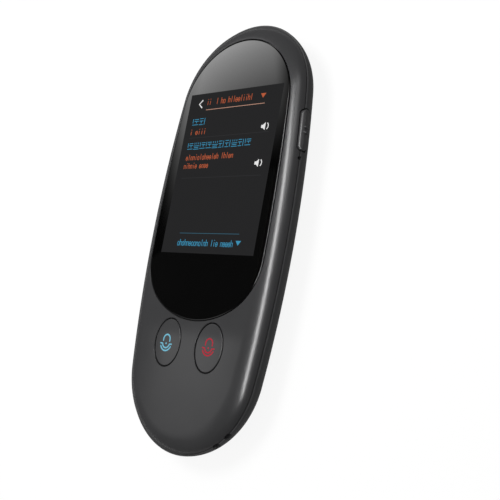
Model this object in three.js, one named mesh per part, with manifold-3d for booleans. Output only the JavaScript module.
// Handheld translator: an oval body with a colour screen, two talk buttons and side keys.
// Millimetres. The body lies on its back: +Z comes out of the screen, +Y points at the top end,
// +X at the side with the volume rocker. The origin is under the body's centre, on its back.
import * as THREE from 'three';
import * as BufferGeometryUtils from 'three/addons/utils/BufferGeometryUtils.js';
import Module from 'manifold-3d';

const wasm = await Module();
wasm.setup();

// Screen, and the body's margins round it
const SCREEN_WIDTH = 36.72;
const SCREEN_HEIGHT = 48.96;
const SIDE_MARGIN = 8.6;
const TOP_MARGIN = 21.0;
const BOTTOM_MARGIN = 55.84;
const BODY_THICKNESS = 11.4;
const END_TAPER = 2.31;

// Edges and walls of the two shells
const FRONT_EDGE_WIDTH = 6.2;
const FRONT_EDGE_HEIGHT = 4.6;
const BACK_EDGE_WIDTH = 10.8;
const BACK_EDGE_HEIGHT = 8;
const SEAM_DEPTH = 3.03;
const SEAM_GAP = 0.25;
const FRONT_WALL = 1.4;
const FRONT_PLATE = 1.7;
const INNER_EDGE_WIDTH = 2.6;
const BACK_WALL = 1.3;
const LIP_GAP = 0.4;
const LIP_WALL = 0.8;
const LIP_DEPTH = 0.8;
const LIP_ROOT = 0.7;

// Clearances
const FIT = 0.3;
const TOUCH = 0.1;
const OVERRUN = 1;

// Cover glass and the parts behind it
const GLASS_SIDE_MARGIN = 3.84;
const GLASS_SCREEN_CORNER_MARGIN = 1.605;
const GLASS_BOTTOM_MARGIN = 18.9;
const GLASS_TOP_TAPER = 1.4;
const GLASS_BOTTOM_RADIUS = 27;
const GLASS_CORNER_RADIUS = 17;
const GLASS_RECESS = 0.05;
const GLASS_THICKNESS = 0.9;
const GLASS_BEVEL = 0.2;
const GLASS_GAP = 0.28;
const ADHESIVE_THICKNESS = 0.15;
const ADHESIVE_INSET = 0.2;
const WINDOW_MARGIN = 0.6;
const WINDOW_CORNER = 0.8;
const GASKET_THICKNESS = 0.4;
const GASKET_INSET = 0.4;
const PANEL_SIDE_BORDER = 1.5;
const PANEL_BOTTOM_BORDER = 8;
const PANEL_CORNER = 1.5;
const PANEL_THICKNESS = 1.1;
const BACKLIGHT_THICKNESS = 0.9;
const BACKLIGHT_INSET = 0.2;

// Mid frame, board and battery
const FRAME_INSET = 2.8;
const FRAME_THICKNESS = 0.7;
const FRAME_OVERHANG = 3.6;
const BOARD_GAP = 0.6;
const BOARD_STEP = 0.3;
const BOARD_THICKNESS = 1;
const BATTERY_ROOM = 0.5;
const BATTERY_SIDE_GAP = 0.55;
const BATTERY_FROM_TOP = 23.9;
const BATTERY_FROM_BOARD = 2.4;
const BATTERY_CORNER = 1;
const PAD_THICKNESS = 0.6;
const PAD_INSET = 4.5;
const RIB_WALL = 0.8;
const RIB_HEIGHT = 1.8;
const RIB_LENGTH = 12;
const RIB_PITCH = 24;

// Talk buttons
const BUTTON_HALF_WIDTH = 4.97;
const BUTTON_HALF_HEIGHT = 6.65;
const BUTTON_SPACING = 6.48;
const BUTTON_FROM_END = 29.95;
const BUTTON_RECESS = 0.05;
const BUTTON_BEVEL = 0.15;
const FLANGE_WIDTH = 0.9;
const FLANGE_THICKNESS = 0.4;
const STEM_RADIUS = 1.5;
const SWITCH_SIDE = 5;
const SWITCH_BASE = 0.4;
const DOME_RADIUS = 1.6;
const DOME_HEIGHT = 0.3;

// Side keys, in the wall's own frame: X out of the wall, Y along it, Z up
const KEY_FROM_END = 34;
const KEY_BELOW_SEAM = 0.6;
const ROCKER_LENGTH = 11.9;
const POWER_KEY_LENGTH = 7.6;
const KEY_HEIGHT = 2.7;
const ROCKER_PROUD = 0.45;
const POWER_KEY_PROUD = 0.1;
const KEY_BEVEL = 0.2;
const KEY_INNER_DEPTH = 1.75;
const EAR_THICKNESS = 0.4;
const EAR_LENGTH = 0.9;
const EAR_DROP = 0.25;
const NUB_DEPTH = 0.25;
const NUB_WIDTH = 1.2;
const ROCKER_ARM = 4;
const RIDGE_HEIGHT = 0.2;
const RIDGE_WIDTH = 0.6;
const RIDGE_LENGTH = 1.7;
const RIDGE_PITCH = 1.5;
const PIVOT_DEPTH = 3.05;
const PIVOT_RADIUS = 0.4;
const PIVOT_LUG_RADIUS = 1.1;
const PIVOT_LUG_HEIGHT = 0.7;
const SIDE_SWITCH_BASE = 1.2;
const SIDE_SWITCH_NUB = 0.35;
const SIDE_SWITCH_LENGTH = 2.8;
const SIDE_SWITCH_HEIGHT = 1.4;
const FLEX_THICKNESS = 0.15;
const FLEX_HEIGHT = 1.2;
const BRACKET_THICKNESS = 0.3;
const BRACKET_OVERHANG = 1;
const BRACKET_HEIGHT = 1.7;
const RESET_OFFSET = 8.05;
const RESET_HOLE_RADIUS = 0.48;
const POCKET_DEPTH = 6;

// Lanyard eyelet, port, microphones and speaker
const LANYARD_TURN_SHARE = 0.267;
const LANYARD_PITCH = 4.65;
const LANYARD_WIDTH = 2.2;
const LANYARD_HEIGHT = 1.25;
const LANYARD_BELOW_SEAM = 0.3;
const LANYARD_DEPTH = 4.5;
const PORT_WIDTH = 8.94;
const PORT_HEIGHT = 3.16;
const PORT_DEPTH = 7;
const PORT_WALL = 0.35;
const PORT_DROP = 0.8;
const PORT_SETBACK = 1.5;
const TONGUE_WIDTH = 6.4;
const TONGUE_THICKNESS = 0.7;
const TONGUE_LENGTH = 4.6;
const TONGUE_BASE = 1;
const MIC_WIDTH = 3.8;
const MIC_DEPTH = 3;
const MIC_HEIGHT = 1.1;
const MIC_HOLE_RADIUS = 0.5;
const MIC_FROM_PORT = 3.6;
const BOOT_DEPTH = 1;
const SPEAKER_WIDTH = 18;
const SPEAKER_LENGTH = 13;
const SPEAKER_FROM_END = 20.9;
const SPEAKER_CORNER = 2.5;
const SPEAKER_WALL = 0.9;
const SPEAKER_FRAME = 2.4;
const SPEAKER_BACK = 0.6;
const SPEAKER_GASKET = 0.3;
const SPEAKER_GASKET_WALL = 1.3;
const MESH_THICKNESS = 0.2;
const MAGNET_INSET = 3;
const CONTACT_ROOM = 1;
const CONE_THICKNESS = 0.3;
const CONE_RISE = 0.5;
const GRILLE_HOLE_RADIUS = 0.6;
const GRILLE_PITCH = 2.2;

// Small electronics
const CONNECTOR_HEIGHT = 0.8;
const SHIELD_HEIGHT = 1.5;
const SHIELD_WALL = 0.2;
const SHIELD_FROM_SCREW = 0.7;
const RADIO_SHIELD_SHARE = 0.38;
const SHIELD_LENGTH = 12;
const SHIELD_FROM_EDGE = 6.5;
const CONNECTOR_LENGTH = 2.4;
const CONNECTOR_WIDTH = 1.2;
const DISPLAY_FLEX_WIDTH = 12.8;
const DISPLAY_FLEX_BEND = 1;
const DISPLAY_FLEX_REACH = 6.3;
const DISPLAY_CONNECTOR_REACH = 4.1;
const BATTERY_LEAD_WIDTH = 6.4;
const BATTERY_LEAD_REACH = 5.5;
const BATTERY_CONNECTOR_REACH = 3.25;
const SIDE_FLEX_REACH = 5.35;
const SIDE_FLEX_BEND = 6;
const CHIP_HEIGHT = 0.9;
const PROCESSOR_SIDE = 8;
const RADIO_SIDE = 5;
const CABLE_RADIUS = 0.4;
const ANTENNA_WIDTH = 3;
const ANTENNA_INSET = 6;

// Screws
const SCREW_HEAD_RADIUS = 1.4;
const SCREW_HEAD_HEIGHT = 0.8;
const SCREW_SHANK_RADIUS = 0.65;
const SCREW_LENGTH = 2.6;
const SCREW_SLOT = 0.35;
const SCREW_SLOT_DEPTH = 0.4;
const BOSS_RADIUS = 1.75;
const BOSS_ROOT = 0.4;
const FRAME_SCREW_MARGIN = 0.9;
const FRAME_SCREW_FROM_RESET = 8.6;
const BOARD_SCREW_RISE = 5;
const FRAME_SCREW_SHARE = 0.3;
const MIC_PLACE_SHARE = 0.86;

// Counts
const SIDE_STEPS = 8;
const END_STEPS = 20;
const EDGE_STEPS = 6;
const GRILLE_COLUMNS = 5;
const GRILLE_ROWS = 3;
const SMALL_STEPS = 12;
const CURVE_STEPS = 3;
const OVAL_STEPS = 14;
const CABLE_STEPS = 20;
const CABLE_CURVE_STEPS = 4;
const RIDGE_COUNT = 2;

// Worked out from the sizes above
const BODY_HALF_WIDTH = SCREEN_WIDTH / 2 + SIDE_MARGIN;
const BODY_HALF_LENGTH = (SCREEN_HEIGHT + TOP_MARGIN + BOTTOM_MARGIN) / 2;
const END_RADIUS = BODY_HALF_WIDTH - END_TAPER;
const END_CENTRE = BODY_HALF_LENGTH - END_RADIUS;
const SIDE_RADIUS = (BODY_HALF_WIDTH ** 2 + END_CENTRE ** 2 - END_RADIUS ** 2) / (2 * END_TAPER);
const SIDE_CENTRE = SIDE_RADIUS - BODY_HALF_WIDTH;
const SIDE_TURN = Math.atan2(END_CENTRE, SIDE_CENTRE);
const SCREEN_TOP = BODY_HALF_LENGTH - TOP_MARGIN;
const SCREEN_Y = SCREEN_TOP - SCREEN_HEIGHT / 2;
const SCREEN_BOTTOM = SCREEN_TOP - SCREEN_HEIGHT;

const FRONT_EDGE_BASE = BODY_THICKNESS - FRONT_EDGE_HEIGHT;
const SEAM_Z = BODY_THICKNESS - SEAM_DEPTH;
const SEAM_TOP = SEAM_Z + SEAM_GAP / 2;
const SEAM_BOTTOM = SEAM_Z - SEAM_GAP / 2;
const PLATE_INNER = BODY_THICKNESS - FRONT_PLATE;
const GLASS_TOP = BODY_THICKNESS - GLASS_RECESS;
const GLASS_BOTTOM = GLASS_TOP - GLASS_THICKNESS;
const LEDGE_TOP = GLASS_BOTTOM - ADHESIVE_THICKNESS;
const PANEL_TOP = PLATE_INNER - GASKET_THICKNESS;
const PANEL_BOTTOM = PANEL_TOP - PANEL_THICKNESS;
const FRAME_TOP = PANEL_BOTTOM - BACKLIGHT_THICKNESS;
const FRAME_BOTTOM = FRAME_TOP - FRAME_THICKNESS;
const BOARD_TOP = FRAME_TOP - BOARD_STEP;
const BOARD_BOTTOM = BOARD_TOP - BOARD_THICKNESS;
const LIP_INSET = BACK_WALL + LIP_GAP;

const PANEL_WIDTH = SCREEN_WIDTH + 2 * PANEL_SIDE_BORDER;
const PANEL_LENGTH = SCREEN_HEIGHT + PANEL_SIDE_BORDER + PANEL_BOTTOM_BORDER;
const PANEL_LOW = SCREEN_BOTTOM - PANEL_BOTTOM_BORDER;
const PANEL_Y = PANEL_LOW + PANEL_LENGTH / 2;
const FRAME_EDGE = PANEL_LOW + FRAME_OVERHANG;
const BOARD_EDGE = FRAME_EDGE - BOARD_GAP;

const BUTTON_X = BUTTON_SPACING / 2 + BUTTON_HALF_WIDTH;
const BUTTON_Y = BUTTON_FROM_END - BODY_HALF_LENGTH;
const FLANGE_TOP = PLATE_INNER - FIT;
const FLANGE_BOTTOM = FLANGE_TOP - FLANGE_THICKNESS;
const BOARD_SCREW_X = BUTTON_X + BUTTON_HALF_WIDTH + FLANGE_WIDTH + BOSS_RADIUS + FIT;
const SWITCH_TOP = BOARD_TOP + SWITCH_BASE + DOME_HEIGHT;
const STEM_BOTTOM = SWITCH_TOP + FIT;

const KEY_Y = BODY_HALF_LENGTH - KEY_FROM_END;
const KEY_Z = SEAM_Z - KEY_BELOW_SEAM;
const RESET_Y = KEY_Y - RESET_OFFSET;
const NUB_REACH = KEY_INNER_DEPTH + EAR_THICKNESS + NUB_DEPTH;
const SIDE_SWITCH_FACE = NUB_REACH + FIT;
const SIDE_SWITCH_FRONT = SIDE_SWITCH_FACE + SIDE_SWITCH_NUB;
const SIDE_SWITCH_REAR = SIDE_SWITCH_FRONT + SIDE_SWITCH_BASE;
const SIDE_FLEX_DEPTH = SIDE_SWITCH_REAR + TOUCH + FLEX_THICKNESS / 2;
const SIDE_BRACKET_FRONT = SIDE_FLEX_DEPTH + FLEX_THICKNESS / 2 + TOUCH;
const SIDE_SWITCH_Z = FRAME_TOP + 2 * TOUCH;

const PORT_Z = (BOARD_TOP + BOARD_BOTTOM) / 2 - PORT_DROP;
const PORT_MOUTH = PORT_SETBACK - BODY_HALF_LENGTH;
const PORT_REAR = PORT_MOUTH + PORT_DEPTH;
const SPEAKER_Y = SPEAKER_FROM_END - BODY_HALF_LENGTH;
const SPEAKER_BOTTOM = BACK_WALL + SPEAKER_GASKET;
const SPEAKER_FRAME_TOP = SPEAKER_BOTTOM + SPEAKER_FRAME;
const BATTERY_BOTTOM = BACK_WALL + PAD_THICKNESS;
const BATTERY_TOP = FRAME_BOTTOM - BATTERY_ROOM;
const BATTERY_LOW = BOARD_EDGE + BATTERY_FROM_BOARD;
const BATTERY_HIGH = BODY_HALF_LENGTH - BATTERY_FROM_TOP;
const MIC_X = PORT_WIDTH / 2 + MIC_FROM_PORT + MIC_WIDTH / 2;
const SHIELDS_HALF_WIDTH = BOARD_SCREW_X - SCREW_HEAD_RADIUS - SHIELD_FROM_SCREW;
const RADIO_SHIELD_WIDTH = 2 * SHIELDS_HALF_WIDTH * RADIO_SHIELD_SHARE;
const PROCESSOR_SHIELD_WIDTH = 2 * SHIELDS_HALF_WIDTH - RADIO_SHIELD_WIDTH - FIT;
const SHIELD_Y = BOARD_EDGE - SHIELD_FROM_EDGE - SHIELD_LENGTH / 2;

const MATERIALS = {
  housing: { color: 0x47484a, roughness: 0.5, metalness: 0.15 },
  key: { color: 0x4c4d4f, roughness: 0.45, metalness: 0.15 },
  glass: { color: 0x0b0b0c, roughness: 0.08, metalness: 0 },
  adhesive: { color: 0x1a1a1a, roughness: 0.9, metalness: 0 },
  foam: { color: 0x26262a, roughness: 0.95, metalness: 0 },
  screen: { color: 0x232324, roughness: 0.2, metalness: 0 },
  plastic: { color: 0xd8d8d2, roughness: 0.5, metalness: 0 },
  frame: { color: 0x9a9da1, roughness: 0.4, metalness: 0.9 },
  board: { color: 0x14532d, roughness: 0.5, metalness: 0 },
  steel: { color: 0xb9bcc0, roughness: 0.3, metalness: 1 },
  chip: { color: 0x17181a, roughness: 0.6, metalness: 0 },
  flex: { color: 0xb5651d, roughness: 0.5, metalness: 0 },
  battery: { color: 0xc4c8cc, roughness: 0.35, metalness: 0.7 },
  rubber: { color: 0x1e1e1f, roughness: 0.9, metalness: 0 },
  brass: { color: 0xc9a452, roughness: 0.3, metalness: 1 },
};

// Solids for the boolean cuts and joins

function toSolid(geometry) {
  const bare = geometry.clone();
  bare.deleteAttribute('normal');
  bare.deleteAttribute('uv');
  const merged = BufferGeometryUtils.mergeVertices(bare);
  const mesh = new wasm.Mesh({
    numProp: 3,
    vertProperties: Float32Array.from(merged.attributes.position.array),
    triVerts: Uint32Array.from(merged.index.array),
  });
  return new wasm.Manifold(mesh);
}

function toGeometry(solid) {
  const mesh = solid.getMesh();
  const geometry = new THREE.BufferGeometry();
  geometry.setAttribute('position', new THREE.BufferAttribute(mesh.vertProperties, mesh.numProp));
  geometry.setIndex(new THREE.BufferAttribute(mesh.triVerts, 1));
  geometry.computeVertexNormals();
  return geometry;
}

function join(first, ...others) {
  return toGeometry(others.reduce((sum, next) => sum.add(toSolid(next)), toSolid(first)));
}

function cut(base, ...tools) {
  return toGeometry(tools.reduce((rest, tool) => rest.subtract(toSolid(tool)), toSolid(base)));
}

function common(first, second) {
  return toGeometry(toSolid(first).intersect(toSolid(second)));
}

// Outlines: closed rounds of points, counter-clockwise

function arc(x, y, radius, from, to, steps) {
  return new THREE.ArcCurve(x, y, radius, from, to, false).getPoints(steps).slice(0, -1);
}

function bodyOutline(inset) {
  const side = SIDE_RADIUS - inset;
  const end = END_RADIUS - inset;
  return [
    ...arc(-SIDE_CENTRE, 0, side, -SIDE_TURN, SIDE_TURN, SIDE_STEPS),
    ...arc(0, END_CENTRE, end, SIDE_TURN, Math.PI - SIDE_TURN, END_STEPS),
    ...arc(SIDE_CENTRE, 0, side, Math.PI - SIDE_TURN, Math.PI + SIDE_TURN, SIDE_STEPS),
    ...arc(0, -END_CENTRE, end, Math.PI + SIDE_TURN, 2 * Math.PI - SIDE_TURN, END_STEPS),
  ];
}

// Where two circles cross, on the side of larger x and lower y
function crossing(a, radiusA, b, radiusB) {
  const across = new THREE.Vector2().subVectors(b, a);
  const distance = across.length();
  const along = (distance ** 2 + radiusA ** 2 - radiusB ** 2) / (2 * distance);
  const height = Math.sqrt(radiusA ** 2 - along ** 2);
  const unit = across.normalize();
  const foot = a.clone().addScaledVector(unit, along);
  const square = new THREE.Vector2(-unit.y, unit.x);
  const sides = [height, -height].map((reach) => foot.clone().addScaledVector(square, reach));
  return sides.reduce((best, point) => (point.x - point.y > best.x - best.y ? point : best));
}

// The cover glass: a round top end, slightly bowed sides and a flatter lower end
function glassOutline(inset) {
  const halfWidth = SCREEN_WIDTH / 2 + GLASS_SIDE_MARGIN;
  const topRadius = halfWidth - GLASS_TOP_TAPER;
  const cornerReach = topRadius - GLASS_SCREEN_CORNER_MARGIN;
  const rise = Math.sqrt(cornerReach ** 2 - (SCREEN_WIDTH / 2) ** 2);
  const top = new THREE.Vector2(0, SCREEN_TOP - rise);
  const bottom = new THREE.Vector2(0, SCREEN_BOTTOM - GLASS_BOTTOM_MARGIN + GLASS_BOTTOM_RADIUS);
  const side = (top.y ** 2 + halfWidth ** 2 - topRadius ** 2) / (2 * GLASS_TOP_TAPER);
  const right = new THREE.Vector2(halfWidth - side, 0);
  const below = GLASS_BOTTOM_RADIUS - GLASS_CORNER_RADIUS;
  const corner = crossing(right, side - GLASS_CORNER_RADIUS, bottom, below);
  const upper = Math.atan2(top.y, top.x - right.x);
  const lower = Math.atan2(corner.y, corner.x - right.x);
  const base = Math.atan2(corner.y - bottom.y, corner.x);
  return [
    ...arc(right.x, 0, side - inset, lower, upper, SIDE_STEPS),
    ...arc(0, top.y, topRadius - inset, upper, Math.PI - upper, END_STEPS),
    ...arc(-right.x, 0, side - inset, Math.PI - upper, Math.PI - lower, SIDE_STEPS),
    ...arc(-corner.x, corner.y, GLASS_CORNER_RADIUS - inset, Math.PI - lower, Math.PI - base, SIDE_STEPS),
    ...arc(0, bottom.y, GLASS_BOTTOM_RADIUS - inset, -Math.PI - base, base, SIDE_STEPS),
    ...arc(corner.x, corner.y, GLASS_CORNER_RADIUS - inset, base, lower, SIDE_STEPS),
  ];
}

function roundedRectangle(width, length, radius) {
  const x = width / 2 - radius;
  const y = length / 2 - radius;
  const shape = new THREE.Shape();
  shape.absarc(x, y, radius, 0, Math.PI / 2);
  shape.absarc(-x, y, radius, Math.PI / 2, Math.PI);
  shape.absarc(-x, -y, radius, Math.PI, Math.PI * 3 / 2);
  shape.absarc(x, -y, radius, Math.PI * 3 / 2, Math.PI * 2);
  return shape.getPoints(CURVE_STEPS);
}

function pill(length, height) {
  const shape = new THREE.Shape();
  const reach = (length - height) / 2;
  shape.absarc(reach, 0, height / 2, -Math.PI / 2, Math.PI / 2);
  shape.absarc(-reach, 0, height / 2, Math.PI / 2, Math.PI * 3 / 2);
  return shape.getPoints(CURVE_STEPS);
}

function oval(halfWidth, halfHeight) {
  return new THREE.Shape().absellipse(0, 0, halfWidth, halfHeight, 0, Math.PI * 2).getPoints(OVAL_STEPS);
}

// A strip of even thickness along a line of points
function ribbon(points, thickness) {
  const offset = (side) => points.map((point, i) => {
    const before = points[Math.max(i - 1, 0)];
    const after = points[Math.min(i + 1, points.length - 1)];
    const arriving = new THREE.Vector2().subVectors(point, before).normalize();
    const leaving = new THREE.Vector2().subVectors(after, point).normalize();
    const along = new THREE.Vector2().addVectors(arriving, leaving).normalize();
    const reach = side / along.dot(i > 0 ? arriving : leaving);
    return new THREE.Vector2(point.x - along.y * reach, point.y + along.x * reach);
  });
  return [...offset(-thickness / 2), ...offset(thickness / 2).reverse()];
}

// Bodies from outlines, placed by their own sizes

function prism(outline, low, high) {
  const settings = { depth: high - low, bevelEnabled: false, steps: 1 };
  return new THREE.ExtrudeGeometry(new THREE.Shape(outline), settings).translate(0, 0, low);
}

// As a prism, with a bevel round the upper edge and the same outline and height
function bevelled(outlineAt, low, high, bevel) {
  const flat = prism(outlineAt(0), low, high - bevel);
  const edge = { bevelThickness: bevel, bevelSize: bevel, bevelOffset: -bevel, bevelSegments: 1 };
  const settings = { depth: bevel, ...edge };
  const crown = new THREE.ExtrudeGeometry(new THREE.Shape(outlineAt(0)), settings);
  return join(flat, crown.translate(0, 0, high - 2 * bevel));
}

function block(width, length, low, high) {
  return new THREE.BoxGeometry(width, length, high - low).translate(0, 0, (low + high) / 2);
}

function rod(radius, low, high) {
  const column = new THREE.CylinderGeometry(radius, radius, high - low, SMALL_STEPS);
  return column.rotateX(Math.PI / 2).translate(0, 0, (low + high) / 2);
}

function screwGeometry() {
  const profile = [
    [0, 0],
    [SCREW_HEAD_RADIUS, 0],
    [SCREW_HEAD_RADIUS, SCREW_HEAD_HEIGHT],
    [SCREW_SHANK_RADIUS, SCREW_HEAD_HEIGHT],
    [SCREW_SHANK_RADIUS, SCREW_HEAD_HEIGHT + SCREW_LENGTH],
    [0, SCREW_HEAD_HEIGHT + SCREW_LENGTH],
  ].map(([x, y]) => new THREE.Vector2(x, y));
  const turned = new THREE.LatheGeometry(profile, SMALL_STEPS).rotateX(Math.PI / 2);
  const slot = block(SCREW_SLOT, SCREW_HEAD_RADIUS, -OVERRUN, SCREW_SLOT_DEPTH);
  return cut(turned, slot, slot.clone().rotateZ(Math.PI / 2));
}

// Rings of the body's outline, one above another, closed at both ends
function loft(levels) {
  const rings = levels.map(({ inset, z }) => bodyOutline(inset).map((point) => [point.x, point.y, z]));
  const count = rings[0].length;
  const last = 1 + count * (rings.length - 1);
  const top = last + count;
  const positions = [[0, 0, levels[0].z], ...rings.flat(), [0, 0, levels[levels.length - 1].z]].flat();
  const triangles = [];
  for (let i = 0; i < count; i += 1) {
    const j = (i + 1) % count;
    triangles.push(0, 1 + j, 1 + i, top, last + i, last + j);
    for (let base = 1; base < last; base += count) {
      const next = base + count;
      triangles.push(base + i, base + j, next + j, base + i, next + j, next + i);
    }
  }
  const geometry = new THREE.BufferGeometry();
  geometry.setAttribute('position', new THREE.Float32BufferAttribute(positions, 3));
  geometry.setIndex(triangles);
  return geometry;
}

// Points of a quarter ellipse as levels, from one turn to another
function ellipseLevels(fromTurn, toTurn, centreInset, width, centreZ, height) {
  return Array.from({ length: EDGE_STEPS + 1 }, (_, i) => {
    const turn = fromTurn + (toTurn - fromTurn) * i / EDGE_STEPS;
    return { inset: centreInset - width * Math.cos(turn), z: centreZ + height * Math.sin(turn) };
  });
}

function backLevels(margin, rim) {
  const width = BACK_EDGE_WIDTH - margin;
  const height = BACK_EDGE_HEIGHT - margin;
  const round = ellipseLevels(-Math.PI / 2, 0, BACK_EDGE_WIDTH, width, BACK_EDGE_HEIGHT, height);
  return [...round, { inset: margin, z: rim }];
}

function frontOuterLevels() {
  const start = Math.asin((SEAM_TOP - FRONT_EDGE_BASE) / FRONT_EDGE_HEIGHT);
  const width = FRONT_EDGE_WIDTH;
  return ellipseLevels(start, Math.PI / 2, width, width, FRONT_EDGE_BASE, FRONT_EDGE_HEIGHT);
}

function frontInnerLevels() {
  const centre = FRONT_WALL + INNER_EDGE_WIDTH;
  const height = FRONT_EDGE_HEIGHT - FRONT_PLATE;
  return ellipseLevels(0, Math.PI / 2, centre, INNER_EDGE_WIDTH, FRONT_EDGE_BASE, height);
}

// The whole body's outer form, grown by a small height
function envelope(proud) {
  const start = Math.asin((SEAM_Z - FRONT_EDGE_BASE) / FRONT_EDGE_HEIGHT);
  const back = [BACK_EDGE_WIDTH, BACK_EDGE_WIDTH + proud, BACK_EDGE_HEIGHT, BACK_EDGE_HEIGHT + proud];
  const front = [FRONT_EDGE_WIDTH, FRONT_EDGE_WIDTH + proud, FRONT_EDGE_BASE, FRONT_EDGE_HEIGHT + proud];
  return loft([
    ...ellipseLevels(-Math.PI / 2, 0, ...back),
    ...ellipseLevels(start, Math.PI / 2, ...front),
  ]);
}

// How far the back shell's inner face stands in from the outline at a height
function backInsetAt(z) {
  const sine = (BACK_EDGE_HEIGHT - z) / (BACK_EDGE_HEIGHT - BACK_WALL);
  return BACK_EDGE_WIDTH - (BACK_EDGE_WIDTH - BACK_WALL) * Math.sqrt(1 - sine ** 2);
}

// Places

// A frame on the side wall at a height along the body: X points out of the wall
function wallPlace(y, side) {
  const turn = Math.asin(y / SIDE_RADIUS);
  const x = side * (SIDE_RADIUS * Math.cos(turn) - SIDE_CENTRE);
  return { x, y, turn: side > 0 ? turn : Math.PI - turn };
}

function onWall(geometry, y, side, z) {
  const place = wallPlace(y, side);
  return geometry.clone().rotateZ(place.turn).translate(place.x, place.y, z);
}

// A point in a wall frame, in the body's frame
function fromWall(y, side, depth, along) {
  const place = wallPlace(y, side);
  const point = new THREE.Vector2(-depth, along).rotateAround(new THREE.Vector2(), place.turn);
  return new THREE.Vector2(point.x + place.x, point.y + place.y);
}

function boardScrewPlaces() {
  const wide = BOARD_SCREW_X;
  const narrow = PORT_WIDTH + BOSS_RADIUS + SCREW_HEAD_RADIUS + FIT;
  const upper = BUTTON_Y + BUTTON_HALF_HEIGHT + BOARD_SCREW_RISE;
  const lower = BUTTON_Y - 2 * BUTTON_HALF_HEIGHT;
  return [[wide, upper], [-wide, upper], [narrow, lower], [-narrow, lower]];
}

function frameScrewPlaces() {
  const wide = PANEL_WIDTH / 2 + BOSS_RADIUS + FRAME_SCREW_MARGIN;
  const narrow = SCREEN_WIDTH * FRAME_SCREW_SHARE;
  const upper = SCREEN_TOP + PANEL_SIDE_BORDER + BOSS_RADIUS + SCREW_HEAD_RADIUS + FIT;
  const lower = RESET_Y - FRAME_SCREW_FROM_RESET;
  return [[narrow, upper], [-narrow, upper], [wide, lower], [-wide, lower]];
}

// The lanyard eyelet: two holes side by side at the lower right corner
function lanyardTools() {
  const middle = -LANYARD_TURN_SHARE * Math.PI;
  const step = LANYARD_PITCH / END_RADIUS / 2;
  return [middle - step, middle + step].map((turn) => {
    const hole = prism(pill(LANYARD_WIDTH, LANYARD_HEIGHT), -LANYARD_DEPTH, OVERRUN);
    hole.rotateX(Math.PI / 2).rotateZ(Math.PI / 2).translate(END_RADIUS, 0, 0);
    return hole.rotateZ(turn).translate(0, -END_CENTRE, SEAM_Z - LANYARD_BELOW_SEAM);
  });
}

// A slot through the wall for a side key, with room inside for what carries the key
function keyTools(length, side) {
  const slot = prism(pill(length + 2 * FIT, KEY_HEIGHT + 2 * FIT), -POCKET_DEPTH, OVERRUN);
  slot.rotateX(Math.PI / 2).rotateZ(Math.PI / 2);
  const reach = length + 2 * (EAR_LENGTH + FIT);
  const front = LIP_INSET - FIT;
  const pocket = block(POCKET_DEPTH - front, reach, -KEY_HEIGHT / 2 - FIT, FIT);
  pocket.translate(-(POCKET_DEPTH + front) / 2, 0, 0);
  return [onWall(slot, KEY_Y, side, KEY_Z), onWall(pocket, KEY_Y, side, KEY_Z)];
}

function resetTool() {
  return onWall(rod(RESET_HOLE_RADIUS, -POCKET_DEPTH, OVERRUN).rotateY(Math.PI / 2), RESET_Y, 1, SEAM_Z);
}

function sideTools() {
  return [...keyTools(ROCKER_LENGTH, 1), ...keyTools(POWER_KEY_LENGTH, -1), resetTool(), ...lanyardTools()];
}

function lipGeometry() {
  const low = SEAM_BOTTOM - LIP_DEPTH;
  const high = SEAM_TOP + LIP_ROOT;
  const inner = prism(bodyOutline(LIP_INSET + LIP_WALL), low - OVERRUN, high + OVERRUN);
  return cut(prism(bodyOutline(LIP_INSET), low, high), inner);
}

function boss([x, y], low) {
  return rod(BOSS_RADIUS, low, PLATE_INNER + BOSS_ROOT).translate(x, y, 0);
}

function pilot([x, y], low) {
  return rod(SCREW_SHANK_RADIUS + FIT, low - OVERRUN, low + SCREW_LENGTH).translate(x, y, 0);
}

function screwHoles(places, low, high) {
  const hole = rod(SCREW_SHANK_RADIUS + FIT, low - OVERRUN, high + OVERRUN);
  return places.map(([x, y]) => hole.clone().translate(x, y, 0));
}

// The opening in front of the screen
function windowOutline() {
  const width = SCREEN_WIDTH + 2 * WINDOW_MARGIN;
  return roundedRectangle(width, SCREEN_HEIGHT + 2 * WINDOW_MARGIN, WINDOW_CORNER);
}

function frontHousing() {
  const shell = cut(loft(frontOuterLevels()), loft(frontInnerLevels()));
  const boardBosses = boardScrewPlaces().map((place) => boss(place, BOARD_TOP + TOUCH));
  const frameBosses = frameScrewPlaces().map((place) => boss(place, FRAME_TOP + TOUCH));
  const whole = join(shell, lipGeometry(), ...boardBosses, ...frameBosses);
  const window = prism(windowOutline(), PLATE_INNER - OVERRUN, BODY_THICKNESS);
  const buttonHole = oval(BUTTON_HALF_WIDTH + FIT, BUTTON_HALF_HEIGHT + FIT);
  return cut(
    whole,
    prism(glassOutline(-GLASS_GAP), LEDGE_TOP, BODY_THICKNESS + OVERRUN),
    window.translate(0, SCREEN_Y, 0),
    ...[-1, 1].map((side) => prism(buttonHole, PLATE_INNER - OVERRUN, BODY_THICKNESS + OVERRUN)
      .translate(side * BUTTON_X, BUTTON_Y, 0)),
    ...boardScrewPlaces().map((place) => pilot(place, BOARD_TOP)),
    ...frameScrewPlaces().map((place) => pilot(place, FRAME_TOP)),
    ...sideTools(),
  );
}

function portTool() {
  const hole = prism(pill(PORT_WIDTH + 2 * FIT, PORT_HEIGHT + 2 * FIT), -PORT_DEPTH, OVERRUN);
  return hole.rotateX(Math.PI / 2).translate(0, -BODY_HALF_LENGTH, PORT_Z);
}

function micTool(x, end) {
  const hole = rod(MIC_HOLE_RADIUS, -PORT_DEPTH, OVERRUN).rotateX(-end * Math.PI / 2);
  return hole.translate(x, end * BODY_HALF_LENGTH, BOARD_BOTTOM - MIC_HEIGHT / 2);
}

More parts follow.
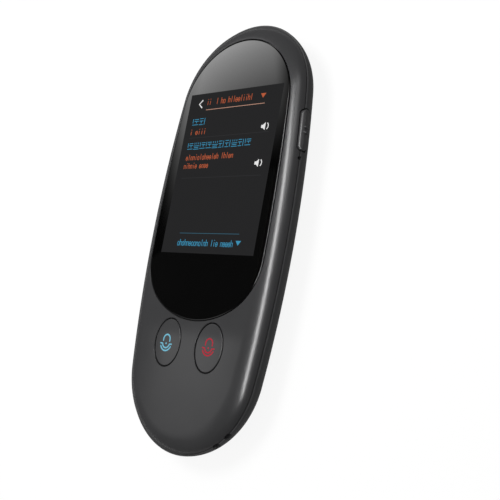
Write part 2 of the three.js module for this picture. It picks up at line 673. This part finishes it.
function grilleTools() {
  const tools = [];
  for (let row = 0; row < GRILLE_ROWS; row += 1) {
    for (let column = 0; column < GRILLE_COLUMNS; column += 1) {
      const x = (column - (GRILLE_COLUMNS - 1) / 2) * GRILLE_PITCH;
      const y = SPEAKER_Y + (row - (GRILLE_ROWS - 1) / 2) * GRILLE_PITCH;
      tools.push(rod(GRILLE_HOLE_RADIUS, -OVERRUN, BACK_WALL + OVERRUN).translate(x, y, 0));
    }
  }
  return tools;
}

// Ribs beside the battery that keep it in its place
function batteryRibs() {
  const x = batteryHalfWidth() + FIT + RIB_WALL / 2;
  const middle = (BATTERY_LOW + BATTERY_HIGH) / 2;
  return [[-1, -1], [-1, 1], [1, -1], [1, 1]].map(([side, end]) => block(
    RIB_WALL, RIB_LENGTH, BACK_WALL / 2, BACK_WALL + RIB_HEIGHT,
  ).translate(side * x, middle + end * RIB_PITCH / 2, 0));
}

function speakerRing() {
  const high = BACK_WALL + RIB_HEIGHT;
  const outer = prism(speakerOutline(-FIT - RIB_WALL), BACK_WALL / 2, high);
  const inner = prism(speakerOutline(-FIT), BACK_WALL, high + OVERRUN);
  return cut(outer, inner).translate(0, SPEAKER_Y, 0);
}

function backCover() {
  const hollow = loft(backLevels(BACK_WALL, SEAM_TOP + OVERRUN));
  const shell = cut(loft(backLevels(0, SEAM_BOTTOM)), hollow);
  const whole = join(shell, ...batteryRibs(), speakerRing());
  return cut(whole, portTool(), micTool(MIC_X, -1), micTool(0, 1), ...grilleTools(), ...sideTools());
}

// Screen and glass

function coverGlass() {
  return bevelled((inset) => glassOutline(inset), GLASS_BOTTOM, GLASS_TOP, GLASS_BEVEL);
}

function glassAdhesive() {
  const hole = prism(windowOutline(), LEDGE_TOP - OVERRUN, GLASS_BOTTOM + OVERRUN);
  const sheet = prism(glassOutline(ADHESIVE_INSET), LEDGE_TOP, GLASS_BOTTOM);
  return cut(sheet, hole.translate(0, SCREEN_Y, 0));
}

function panelOutline(inset) {
  return roundedRectangle(PANEL_WIDTH - 2 * inset, PANEL_LENGTH - 2 * inset, PANEL_CORNER);
}

function displayGasket() {
  const outer = prism(panelOutline(GASKET_INSET), PANEL_TOP, PLATE_INNER).translate(0, PANEL_Y, 0);
  const inner = prism(windowOutline(), PANEL_TOP - OVERRUN, BODY_THICKNESS);
  return cut(outer, inner.translate(0, SCREEN_Y, 0));
}

function displayFlex() {
  const low = PANEL_BOTTOM - BACKLIGHT_THICKNESS / 2;
  const rise = BOARD_TOP + CONNECTOR_HEIGHT + FLEX_THICKNESS;
  const line = [
    [PANEL_LOW - TOUCH, low],
    [PANEL_LOW - 2 * FIT, low],
    [PANEL_LOW - 2 * FIT - DISPLAY_FLEX_BEND, rise],
    [PANEL_LOW - DISPLAY_FLEX_REACH, rise],
  ].map(([y, z]) => new THREE.Vector2(y, z));
  const half = DISPLAY_FLEX_WIDTH / 2;
  const strip = prism(ribbon(line, FLEX_THICKNESS), -half, half);
  return strip.rotateX(Math.PI / 2).rotateZ(Math.PI / 2);
}

// Talk buttons

function talkButton() {
  const top = BODY_THICKNESS - BUTTON_RECESS;
  const outline = (inset) => oval(BUTTON_HALF_WIDTH - inset, BUTTON_HALF_HEIGHT - inset);
  const cap = bevelled(outline, FLANGE_BOTTOM, top, BUTTON_BEVEL);
  const flange = prism(outline(-FLANGE_WIDTH), FLANGE_BOTTOM, FLANGE_TOP);
  return join(cap, flange, rod(STEM_RADIUS, STEM_BOTTOM, FLANGE_TOP));
}

function talkSwitch() {
  const base = block(SWITCH_SIDE, SWITCH_SIDE, BOARD_TOP, BOARD_TOP + SWITCH_BASE);
  return join(base, rod(DOME_RADIUS, BOARD_TOP + SWITCH_BASE / 2, SWITCH_TOP));
}

// Side keys, in a wall frame whose origin is on the wall, a little below the seam

function outward(outline, inner, outer) {
  return prism(outline, inner, outer).rotateX(Math.PI / 2).rotateZ(Math.PI / 2);
}

function keyBody(length, proud) {
  const outline = (inset) => pill(length - 2 * inset, KEY_HEIGHT - 2 * inset);
  const crown = bevelled(outline, -KEY_INNER_DEPTH, proud, KEY_BEVEL);
  const ears = new THREE.BoxGeometry(EAR_THICKNESS, length + 2 * EAR_LENGTH, KEY_HEIGHT / 2 - EAR_DROP);
  const depth = KEY_INNER_DEPTH + EAR_THICKNESS / 2;
  const backing = new THREE.BoxGeometry(EAR_THICKNESS, length - KEY_HEIGHT, KEY_HEIGHT - 2 * EAR_DROP);
  return join(
    crown.rotateX(Math.PI / 2).rotateZ(Math.PI / 2),
    ears.translate(-depth, 0, -KEY_HEIGHT / 4 - EAR_DROP / 2),
    backing.translate(-depth, 0, 0),
  );
}

// A key's outer face follows the wall's curve
function followWall(key, side, proud) {
  const place = wallPlace(KEY_Y, side);
  return common(key, envelope(proud).translate(-place.x, -place.y, -KEY_Z).rotateZ(-place.turn));
}

function keyNub(along) {
  const depth = KEY_INNER_DEPTH + EAR_THICKNESS / 2;
  const nub = new THREE.BoxGeometry(EAR_THICKNESS + 2 * NUB_DEPTH, NUB_WIDTH, NUB_WIDTH);
  return nub.translate(-depth, along, 0);
}

function volumeRocker() {
  const ridges = Array.from({ length: RIDGE_COUNT }, (_, i) => {
    const along = (i - (RIDGE_COUNT - 1) / 2) * RIDGE_PITCH;
    const ridge = outward(pill(RIDGE_LENGTH, RIDGE_WIDTH), 0, ROCKER_PROUD + RIDGE_HEIGHT);
    return ridge.rotateX(Math.PI / 2).translate(0, along, 0);
  }).map((ridge) => followWall(ridge, 1, ROCKER_PROUD + RIDGE_HEIGHT));
  const lug = rod(PIVOT_LUG_RADIUS, -PIVOT_LUG_HEIGHT / 2, PIVOT_LUG_HEIGHT / 2);
  lug.translate(-PIVOT_DEPTH, 0, 0);
  const web = new THREE.BoxGeometry(PIVOT_DEPTH - KEY_INNER_DEPTH, PIVOT_LUG_RADIUS, PIVOT_LUG_HEIGHT);
  web.translate(-(PIVOT_DEPTH + KEY_INNER_DEPTH) / 2, 0, 0);
  const key = followWall(keyBody(ROCKER_LENGTH, ROCKER_PROUD), 1, ROCKER_PROUD);
  const whole = join(key, keyNub(-ROCKER_ARM), keyNub(ROCKER_ARM), ...ridges, lug, web);
  return cut(whole, rod(PIVOT_RADIUS + FIT, -KEY_HEIGHT, KEY_HEIGHT).translate(-PIVOT_DEPTH, 0, 0));
}

function rockerPin() {
  const low = FRAME_TOP + TOUCH - KEY_Z;
  return rod(PIVOT_RADIUS, low, PIVOT_LUG_HEIGHT).translate(-PIVOT_DEPTH, 0, 0);
}

function powerKey() {
  const key = keyBody(POWER_KEY_LENGTH, POWER_KEY_PROUD);
  return join(followWall(key, -1, POWER_KEY_PROUD), keyNub(0));
}

function sideSwitch(along) {
  const low = SIDE_SWITCH_Z - KEY_Z;
  const high = low + SIDE_SWITCH_HEIGHT;
  const base = block(SIDE_SWITCH_BASE, SIDE_SWITCH_LENGTH, low, high);
  base.translate(-SIDE_SWITCH_FRONT - SIDE_SWITCH_BASE / 2, along, 0);
  const reach = SIDE_SWITCH_NUB + SIDE_SWITCH_BASE / 2;
  const nub = block(reach, NUB_WIDTH, low + SIDE_SWITCH_NUB, high - SIDE_SWITCH_NUB);
  return join(base, nub.translate(-SIDE_SWITCH_FACE - reach / 2, along, 0));
}

function sideBracket(low, high) {
  const foot = FRAME_TOP - KEY_Z;
  const plate = block(BRACKET_THICKNESS, high - low + 2 * BRACKET_OVERHANG, foot, foot + BRACKET_HEIGHT);
  return plate.translate(-SIDE_BRACKET_FRONT - BRACKET_THICKNESS / 2, (low + high) / 2, 0);
}

// The flex circuit behind the side switches, and its tail along the screen to the board
function sideFlex(side, high, low) {
  const channel = side * (PANEL_WIDTH / 2 + 2 * FIT);
  const line = [
    fromWall(KEY_Y, side, SIDE_FLEX_DEPTH, side * high),
    fromWall(KEY_Y, side, SIDE_FLEX_DEPTH, side * (low - 2 * BRACKET_OVERHANG)),
    new THREE.Vector2(channel, KEY_Y - SIDE_FLEX_BEND + low),
    new THREE.Vector2(channel, FRAME_EDGE - SIDE_FLEX_REACH),
  ];
  return prism(ribbon(line, FLEX_THICKNESS), SIDE_SWITCH_Z, SIDE_SWITCH_Z + FLEX_HEIGHT);
}

// Frame, board and battery

function midFrame() {
  const plate = prism(bodyOutline(FRAME_INSET), FRAME_BOTTOM, FRAME_TOP);
  const span = new THREE.BoxGeometry(2 * BODY_HALF_WIDTH, BODY_HALF_LENGTH - FRAME_EDGE, BODY_THICKNESS);
  span.translate(0, (BODY_HALF_LENGTH + FRAME_EDGE) / 2, BODY_THICKNESS / 2);
  return cut(common(plate, span), ...screwHoles(frameScrewPlaces(), FRAME_BOTTOM, FRAME_TOP));
}

function mainBoard() {
  const plate = prism(bodyOutline(FRAME_INSET), BOARD_BOTTOM, BOARD_TOP);
  const span = new THREE.BoxGeometry(2 * BODY_HALF_WIDTH, BODY_HALF_LENGTH + BOARD_EDGE, BODY_THICKNESS);
  span.translate(0, (BOARD_EDGE - BODY_HALF_LENGTH) / 2, BODY_THICKNESS / 2);
  const notch = new THREE.BoxGeometry(PORT_WIDTH + 2 * FIT, PORT_DEPTH + 2 * FIT, BODY_THICKNESS);
  notch.translate(0, PORT_REAR + FIT - (PORT_DEPTH + 2 * FIT) / 2, BODY_THICKNESS / 2);
  return cut(common(plate, span), notch, ...screwHoles(boardScrewPlaces(), BOARD_BOTTOM, BOARD_TOP));
}

function batteryHalfWidth() {
  return END_RADIUS - backInsetAt(BATTERY_BOTTOM) - BATTERY_SIDE_GAP;
}

function batteryBlock(inset, low, high) {
  const width = 2 * (batteryHalfWidth() - inset);
  const length = BATTERY_HIGH - BATTERY_LOW - 2 * inset;
  const body = prism(roundedRectangle(width, length, BATTERY_CORNER), low, high);
  return body.translate(0, (BATTERY_HIGH + BATTERY_LOW) / 2, 0);
}

function batteryLead() {
  const start = BATTERY_BOTTOM + (BATTERY_TOP - BATTERY_BOTTOM) / 2;
  const under = BOARD_BOTTOM - CONNECTOR_HEIGHT - FLEX_THICKNESS;
  const line = [
    [BATTERY_LOW - TOUCH, start],
    [BATTERY_LOW - FIT - CONNECTOR_HEIGHT, under],
    [BOARD_EDGE - BATTERY_LEAD_REACH, under],
  ].map(([y, z]) => new THREE.Vector2(y, z));
  const half = BATTERY_LEAD_WIDTH / 2;
  const strip = prism(ribbon(line, FLEX_THICKNESS), -half, half);
  return strip.rotateX(Math.PI / 2).rotateZ(Math.PI / 2);
}

function shield(width, length) {
  const low = BOARD_BOTTOM - SHIELD_HEIGHT;
  const tray = block(width, length, low, BOARD_BOTTOM);
  const inside = block(width - 2 * SHIELD_WALL, length - 2 * SHIELD_WALL, low + SHIELD_WALL, BOARD_TOP);
  return cut(tray, inside);
}

function onBoard(width, length, height) {
  return block(width, length, BOARD_TOP, BOARD_TOP + height);
}

function underBoard(width, length, height) {
  return block(width, length, BOARD_BOTTOM - height, BOARD_BOTTOM);
}

// Port, speaker and microphones

function portShell() {
  const outer = prism(pill(PORT_WIDTH, PORT_HEIGHT), 0, PORT_DEPTH);
  const bore = pill(PORT_WIDTH - 2 * PORT_WALL, PORT_HEIGHT - 2 * PORT_WALL);
  const inner = prism(bore, -OVERRUN, PORT_DEPTH - PORT_WALL);
  return cut(outer, inner).rotateX(-Math.PI / 2);
}

function portTongue() {
  const rear = PORT_DEPTH - PORT_WALL - TOUCH;
  const front = rear - TONGUE_BASE;
  const side = PORT_WALL + TOUCH;
  const base = prism(pill(PORT_WIDTH - 2 * side, PORT_HEIGHT - 2 * side), front, rear);
  const tongue = block(TONGUE_WIDTH, TONGUE_THICKNESS, front - TONGUE_LENGTH, rear);
  return join(base, tongue).rotateX(-Math.PI / 2);
}

function microphone() {
  return block(MIC_WIDTH, MIC_DEPTH, -MIC_HEIGHT, 0);
}

function microphoneBoot() {
  const sleeve = new THREE.BoxGeometry(MIC_WIDTH, BOOT_DEPTH, MIC_HEIGHT).translate(0, 0, -MIC_HEIGHT / 2);
  const bore = rod(MIC_HOLE_RADIUS / 2, -BOOT_DEPTH, BOOT_DEPTH).rotateX(Math.PI / 2);
  return cut(sleeve, bore.translate(0, 0, -MIC_HEIGHT / 2));
}

function speakerOutline(inset) {
  const corner = SPEAKER_CORNER - inset / 2;
  return roundedRectangle(SPEAKER_WIDTH - 2 * inset, SPEAKER_LENGTH - 2 * inset, corner);
}

function speakerFrame() {
  const cup = prism(speakerOutline(0), SPEAKER_BOTTOM, SPEAKER_FRAME_TOP);
  const back = SPEAKER_FRAME_TOP - SPEAKER_BACK;
  return cut(cup, prism(speakerOutline(SPEAKER_WALL), SPEAKER_BOTTOM - OVERRUN, back));
}

function speakerCone() {
  const edge = SPEAKER_WALL + TOUCH;
  const low = SPEAKER_BOTTOM + FIT;
  const rim = prism(speakerOutline(edge), low, low + CONE_THICKNESS);
  const crown = speakerOutline(edge + MAGNET_INSET / 2);
  return join(rim, prism(crown, low + CONE_THICKNESS / 2, low + CONE_THICKNESS + CONE_RISE));
}

function speakerMagnet() {
  const high = BOARD_BOTTOM - CONTACT_ROOM;
  return prism(speakerOutline(MAGNET_INSET), SPEAKER_FRAME_TOP, high);
}

function speakerGasket() {
  const ring = prism(speakerOutline(TOUCH), BACK_WALL, SPEAKER_BOTTOM);
  return cut(ring, prism(speakerOutline(SPEAKER_GASKET_WALL), 0, SPEAKER_BOTTOM + OVERRUN));
}

function speakerMesh() {
  return prism(speakerOutline(SPEAKER_GASKET_WALL + TOUCH), BACK_WALL, BACK_WALL + MESH_THICKNESS);
}

// A bent spring strip between the board and the speaker
function speakerContact() {
  const room = BOARD_BOTTOM - SPEAKER_FRAME_TOP - 2 * TOUCH;
  const line = [[0, 0], [0, room], [NUB_WIDTH, room]].map(([x, z]) => new THREE.Vector2(x, z));
  return prism(ribbon(line, FLEX_THICKNESS), -NUB_WIDTH / 2, NUB_WIDTH / 2).rotateX(Math.PI / 2);
}

// Antenna at the top end, and its cable under the frame to the board

function antennaFilm() {
  const outer = prism(bodyOutline(ANTENNA_INSET), FRAME_TOP, FRAME_TOP + FLEX_THICKNESS);
  const inner = prism(bodyOutline(ANTENNA_INSET + ANTENNA_WIDTH), 0, BODY_THICKNESS);
  const reach = BODY_HALF_LENGTH - SCREEN_TOP - PANEL_SIDE_BORDER;
  const span = new THREE.BoxGeometry(BODY_HALF_WIDTH, reach, BODY_THICKNESS);
  span.translate(0, BODY_HALF_LENGTH - ANTENNA_WIDTH, BODY_THICKNESS / 2);
  return common(cut(outer, inner), span);
}

function cableX() {
  return -(batteryHalfWidth() + 2 * FIT + RIB_WALL + CABLE_RADIUS);
}

function antennaCable() {
  const x = cableX();
  const z = FRAME_BOTTOM - CABLE_RADIUS - 2 * FIT;
  const low = BOARD_BOTTOM - CONNECTOR_HEIGHT - CABLE_RADIUS - TOUCH;
  const route = new THREE.CatmullRomCurve3([
    new THREE.Vector3(x, BATTERY_HIGH, z),
    new THREE.Vector3(x - CABLE_RADIUS, (BATTERY_HIGH + BATTERY_LOW) / 2, z),
    new THREE.Vector3(x, BATTERY_LOW, z),
    new THREE.Vector3(x, BOARD_EDGE + BOARD_GAP, low),
    new THREE.Vector3(x, BOARD_EDGE - BATTERY_CONNECTOR_REACH, low),
  ]);
  const section = new THREE.Shape().absarc(0, 0, CABLE_RADIUS, 0, Math.PI * 2);
  const settings = { steps: CABLE_STEPS, curveSegments: CABLE_CURVE_STEPS, extrudePath: route };
  return new THREE.ExtrudeGeometry(section, settings);
}

// The assembly

function piece(name, geometry, look, x = 0, y = 0, z = 0) {
  const mesh = new THREE.Mesh(geometry, new THREE.MeshStandardMaterial(MATERIALS[look]));
  mesh.name = name;
  mesh.position.set(x, y, z);
  return mesh;
}

function group(...children) {
  const parent = new THREE.Group();
  parent.add(...children);
  return parent;
}

function screenGroup() {
  const backlight = prism(panelOutline(BACKLIGHT_INSET), FRAME_TOP, PANEL_BOTTOM);
  return group(
    piece('cover_glass', coverGlass(), 'glass'),
    piece('glass_adhesive', glassAdhesive(), 'adhesive'),
    piece('display_gasket', displayGasket(), 'foam'),
    piece('display_panel', prism(panelOutline(0), PANEL_BOTTOM, PANEL_TOP), 'screen', 0, PANEL_Y),
    piece('display_backlight', backlight, 'plastic', 0, PANEL_Y),
    piece('display_flex', displayFlex(), 'flex'),
  );
}

function buttonGroup() {
  const names = [[-1, 'left'], [1, 'right']];
  return group(...names.flatMap(([side, word]) => [
    piece(`${word}_talk_button`, talkButton(), 'key', side * BUTTON_X, BUTTON_Y),
    piece(`${word}_talk_switch`, talkSwitch(), 'steel', side * BUTTON_X, BUTTON_Y),
  ]));
}

function wallGroup(side, ...children) {
  const place = wallPlace(KEY_Y, side);
  const parent = group(...children);
  parent.position.set(place.x, place.y, KEY_Z);
  parent.rotation.z = place.turn;
  return parent;
}

function sideKeyGroup() {
  const low = -RESET_OFFSET - SIDE_SWITCH_LENGTH / 2;
  const high = ROCKER_ARM + SIDE_SWITCH_LENGTH / 2;
  const half = SIDE_SWITCH_LENGTH / 2;
  return group(
    wallGroup(
      1,
      piece('volume_rocker', volumeRocker(), 'key'),
      piece('rocker_pin', rockerPin(), 'steel'),
      piece('volume_up_switch', sideSwitch(ROCKER_ARM), 'steel'),
      piece('volume_down_switch', sideSwitch(-ROCKER_ARM), 'steel'),
      piece('reset_switch', sideSwitch(-RESET_OFFSET), 'steel'),
      piece('volume_bracket', sideBracket(low, high), 'steel'),
    ),
    wallGroup(
      -1,
      piece('power_key', powerKey(), 'key'),
      piece('power_switch', sideSwitch(0), 'steel'),
      piece('power_bracket', sideBracket(-half, half), 'steel'),
    ),
    piece('volume_flex', sideFlex(1, high, low), 'flex'),
    piece('power_flex', sideFlex(-1, half, -half), 'flex'),
  );
}

// The chips under their shield cans, on the board's lower face
function chipGroup() {
  const middle = SHIELDS_HALF_WIDTH - PROCESSOR_SHIELD_WIDTH / 2;
  const beside = RADIO_SHIELD_WIDTH / 2 - SHIELDS_HALF_WIDTH;
  const processor = underBoard(PROCESSOR_SIDE, PROCESSOR_SIDE, CHIP_HEIGHT);
  const radio = underBoard(RADIO_SIDE, RADIO_SIDE, CHIP_HEIGHT);
  return group(
    piece('processor_shield', shield(PROCESSOR_SHIELD_WIDTH, SHIELD_LENGTH), 'steel', middle, SHIELD_Y),
    piece('processor_chip', processor, 'chip', middle, SHIELD_Y),
    piece('radio_shield', shield(RADIO_SHIELD_WIDTH, SHIELD_LENGTH), 'steel', beside, SHIELD_Y),
    piece('radio_chip', radio, 'chip', beside, SHIELD_Y),
  );
}

function connectorGroup() {
  const leadY = BOARD_EDGE - BATTERY_CONNECTOR_REACH;
  const screenY = PANEL_LOW - DISPLAY_CONNECTOR_REACH;
  const sideX = PANEL_WIDTH / 2 + 2 * FIT;
  const sideY = FRAME_EDGE - SIDE_FLEX_REACH - CONNECTOR_WIDTH / 2 - TOUCH;
  const battery = underBoard(BATTERY_LEAD_WIDTH, CONNECTOR_LENGTH, CONNECTOR_HEIGHT);
  const display = onBoard(DISPLAY_FLEX_WIDTH, CONNECTOR_LENGTH, CONNECTOR_HEIGHT);
  const antenna = underBoard(CONNECTOR_LENGTH, CONNECTOR_LENGTH, CONNECTOR_HEIGHT);
  const keys = onBoard(CONNECTOR_LENGTH, CONNECTOR_WIDTH, CONNECTOR_HEIGHT);
  return group(
    piece('battery_connector', battery, 'plastic', 0, leadY),
    piece('display_connector', display, 'plastic', 0, screenY),
    piece('antenna_connector', antenna, 'brass', cableX(), leadY),
    piece('volume_connector', keys, 'plastic', sideX, sideY),
    piece('power_connector', keys.clone(), 'plastic', -sideX, sideY),
  );
}

function powerGroup() {
  return group(
    piece('battery', batteryBlock(0, BATTERY_BOTTOM, BATTERY_TOP), 'battery'),
    piece('battery_pad', batteryBlock(PAD_INSET, BACK_WALL, BATTERY_BOTTOM), 'foam'),
    piece('battery_lead', batteryLead(), 'flex'),
  );
}

function soundGroup() {
  const contactX = SPEAKER_WIDTH / 2 - SPEAKER_WALL - NUB_WIDTH / 2;
  const contactZ = SPEAKER_FRAME_TOP + TOUCH;
  const rightX = contactX - NUB_WIDTH / 2;
  return group(
    piece('speaker_frame', speakerFrame(), 'frame', 0, SPEAKER_Y),
    piece('speaker_cone', speakerCone(), 'chip', 0, SPEAKER_Y),
    piece('speaker_magnet', speakerMagnet(), 'steel', 0, SPEAKER_Y),
    piece('speaker_gasket', speakerGasket(), 'foam', 0, SPEAKER_Y),
    piece('speaker_mesh', speakerMesh(), 'steel', 0, SPEAKER_Y),
    piece('left_speaker_contact', speakerContact(), 'brass', -contactX, SPEAKER_Y, contactZ),
    piece('right_speaker_contact', speakerContact(), 'brass', rightX, SPEAKER_Y, contactZ),
  );
}

function microphoneGroup() {
  const low = -BODY_HALF_LENGTH * MIC_PLACE_SHARE;
  const high = BODY_HALF_LENGTH - FRAME_INSET - FIT - BOOT_DEPTH - MIC_DEPTH;
  const step = (MIC_DEPTH + BOOT_DEPTH) / 2;
  return group(
    piece('bottom_microphone', microphone(), 'steel', MIC_X, low, BOARD_BOTTOM),
    piece('bottom_microphone_boot', microphoneBoot(), 'rubber', MIC_X, low - step, BOARD_BOTTOM),
    piece('top_microphone', microphone(), 'steel', 0, high, FRAME_BOTTOM),
    piece('top_microphone_boot', microphoneBoot(), 'rubber', 0, high + step, FRAME_BOTTOM),
  );
}

function portGroup() {
  return group(
    piece('usb_c_shell', portShell(), 'steel', 0, PORT_MOUTH, PORT_Z),
    piece('usb_c_tongue', portTongue(), 'chip', 0, PORT_MOUTH, PORT_Z),
  );
}

function screwGroup() {
  const screws = (word, places, low) => places.map(([x, y], i) => (
    piece(`${word}_screw_${i + 1}`, screwGeometry(), 'steel', x, y, low - SCREW_HEAD_HEIGHT)));
  return group(
    ...screws('board', boardScrewPlaces(), BOARD_BOTTOM),
    ...screws('frame', frameScrewPlaces(), FRAME_BOTTOM),
  );
}

const translator = group(
  piece('front_housing', frontHousing(), 'housing'),
  piece('back_cover', backCover(), 'housing'),
  piece('mid_frame', midFrame(), 'frame'),
  piece('antenna_film', antennaFilm(), 'flex'),
  piece('antenna_cable', antennaCable(), 'rubber'),
  screenGroup(),
  buttonGroup(),
  sideKeyGroup(),
  piece('main_board', mainBoard(), 'board'),
  chipGroup(),
  connectorGroup(),
  powerGroup(),
  soundGroup(),
  microphoneGroup(),
  portGroup(),
  screwGroup(),
);
translator.name = 'handheld_translator';

export default translator;
